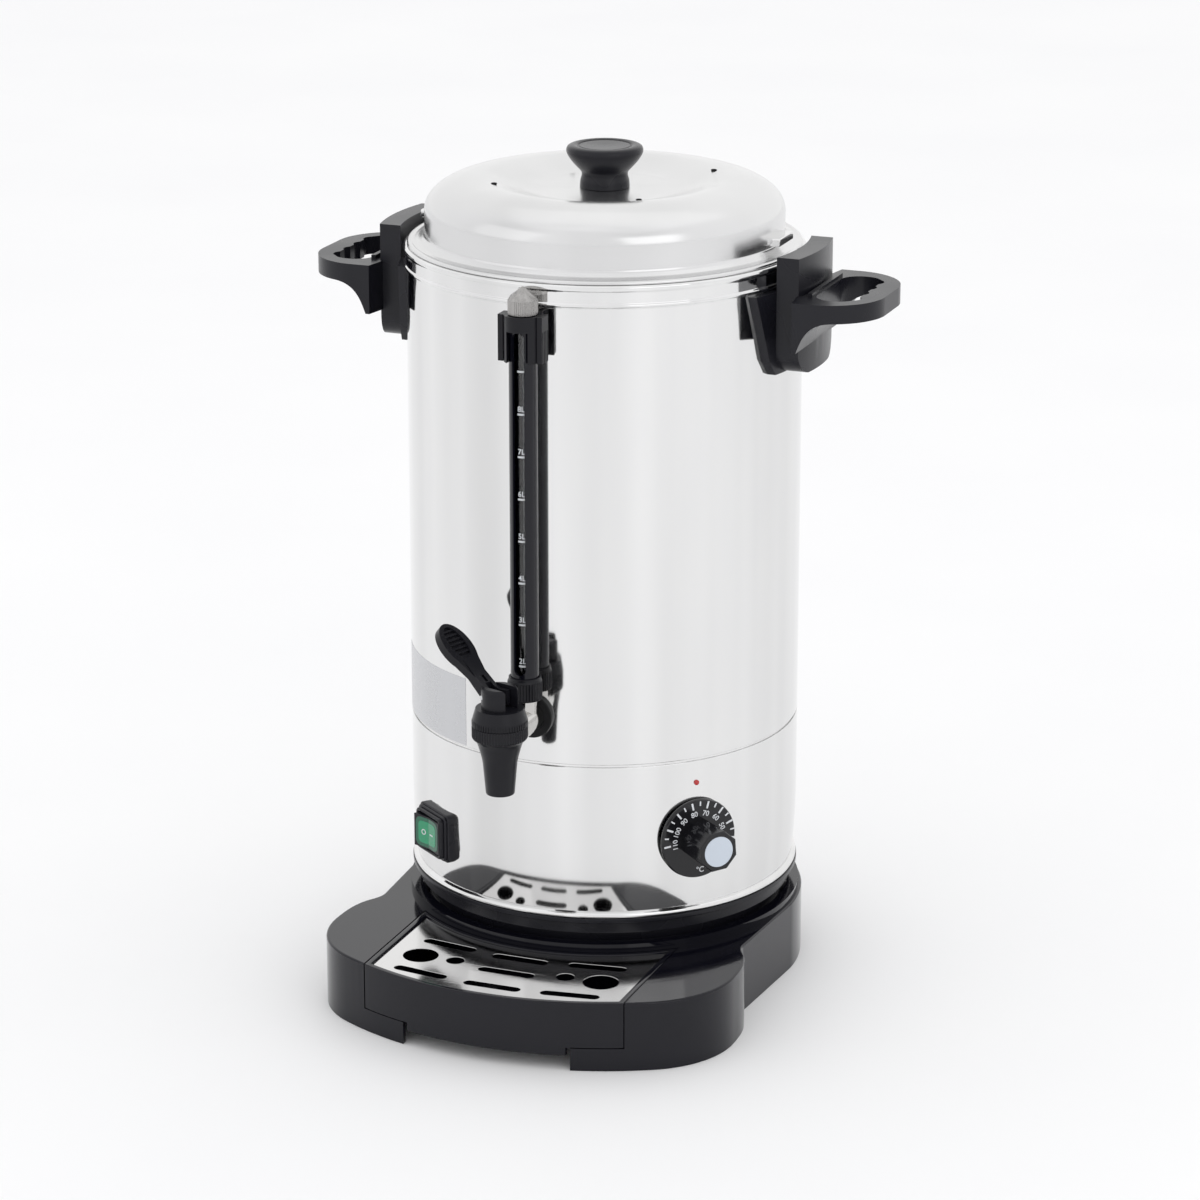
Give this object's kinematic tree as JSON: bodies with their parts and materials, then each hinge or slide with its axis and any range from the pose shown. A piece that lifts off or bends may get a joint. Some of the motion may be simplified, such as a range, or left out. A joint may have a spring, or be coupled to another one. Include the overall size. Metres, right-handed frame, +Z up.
{
  "type": "hot water dispenser",
  "caption": "Round steel hot water boiler with gauge, lever tap, dial and rocker switch, on a black stand with drip tray.",
  "frame": {"origin": "on the floor under the stand, on the axis of the round boiler", "axes": "+Z up along the boiler's axis, -Y towards the tap and drip tray, +X to the right seen from the front"},
  "size_m": [0.342, 0.3075, 0.484],
  "materials": {
    "polished_steel": "polished",
    "satin_steel": "satin",
    "zinc_steel": "plated",
    "plated_brass": "polished",
    "black_gloss": "gloss",
    "black_satin": "satin",
    "black_matte": "matt",
    "black_rubber": "matt",
    "clear_silicone": "translucent",
    "gauge_glass": "clear",
    "scale_black": "printed",
    "green_lit": "translucent",
    "pale_cap": "satin",
    "red_lens": "translucent",
    "heater_metal": "cast",
    "copper_bulb": "drawn",
    "cream_plastic": "matt"
  },
  "bodies": {
    "dispenser": {"stand": "black_gloss", "base_plate": "black_satin", "stand_screws": "zinc_steel", "skirt": "polished_steel", "tank": "polished_steel", "rim_collar": "polished_steel", "handle_right": "black_satin", "handle_left": "black_satin", "handle_screws": "zinc_steel", "outlet_tee": "plated_brass", "tee_flange": "black_rubber", "tee_washer": "clear_silicone", "tee_lock_nut": "plated_brass", "gauge_seal": "clear_silicone", "gauge_nut": "black_matte", "gauge_glass": "gauge_glass", "gauge_shroud": "black_satin", "scale_strip": "scale_black", "gauge_bracket": "black_matte", "bracket_screw": "zinc_steel", "tap_body": "black_matte", "tap_bonnet": "black_matte", "lever_pin": "zinc_steel", "tap_spring": "zinc_steel", "thermostat_body": "cream_plastic", "thermostat_nut": "zinc_steel", "pilot_lens": "red_lens", "sensing_bulb": "copper_bulb", "switch_frame": "black_satin", "switch_body": "black_matte", "switch_terminals": "plated_brass", "heater_plate": "heater_metal", "heater_ring": "satin_steel", "cut_out": "cream_plastic", "earth_stud": "zinc_steel", "cord_gland": "black_satin", "terminal_block": "cream_plastic", "terminal_screws": "plated_brass"},
    "lid": {"lid": "polished_steel", "lid_knob": "black_satin", "knob_screw": "zinc_steel"},
    "lever": {"tap_lever": "black_matte"},
    "stem": {"tap_stem": "satin_steel", "seat_cup": "clear_silicone"},
    "dial": {"dial": "black_matte", "dial_cap": "pale_cap", "thermostat_shaft": "satin_steel"},
    "rocker": {"switch_rocker": "green_lit"},
    "tray": {"drip_tray": "black_gloss"},
    "grille": {"grille": "satin_steel"},
    "cap": {"gauge_cap": "plated_brass"}
  },
  "joints": [
    {"name": "lid_lift", "type": "slide", "parent": "dispenser", "child": "lid", "axis": [0, 0, 1], "range_m": [0, 0.06]},
    {"name": "lever_press", "type": "hinge", "parent": "dispenser", "child": "lever", "pos_m": [-0.00571, -0.15815, 0.2055], "axis": [-0.309, -0.9511, 0], "range_deg": [0, 30], "stiffness_Nm_per_rad": 0.12, "springref_deg": -14.32},
    {"name": "stem_lift", "type": "slide", "parent": "dispenser", "child": "stem", "axis": [0, 0, 1], "range_m": [0, 0.00321], "deforming": ["tap_spring"]},
    {"name": "dial_turn", "type": "hinge", "parent": "dispenser", "child": "dial", "pos_m": [0.08463, -0.07488, 0.1045], "axis": [0.749, -0.6626, 0], "range_deg": [-108, 84]},
    {"name": "rocker_tip", "type": "hinge", "parent": "dispenser", "child": "rocker", "pos_m": [-0.07031, -0.09163, 0.092], "axis": [0, 0, -1], "range_deg": [0, 14]},
    {"name": "tray_pull", "type": "slide", "parent": "dispenser", "child": "tray", "axis": [0, -1, 0], "range_m": [0, 0.1]},
    {"name": "grille_lift", "type": "slide", "parent": "tray", "child": "grille", "axis": [0, 0, 1], "range_m": [0, 0.03]},
    {"name": "cap_pull", "type": "slide", "parent": "dispenser", "child": "cap", "axis": [0, 0, 1], "range_m": [0, 0.012]}
  ],
  "couplings": [
    {"joint": "lever_press", "follows": "stem_lift", "rad_per_m": 162.86}
  ]
}
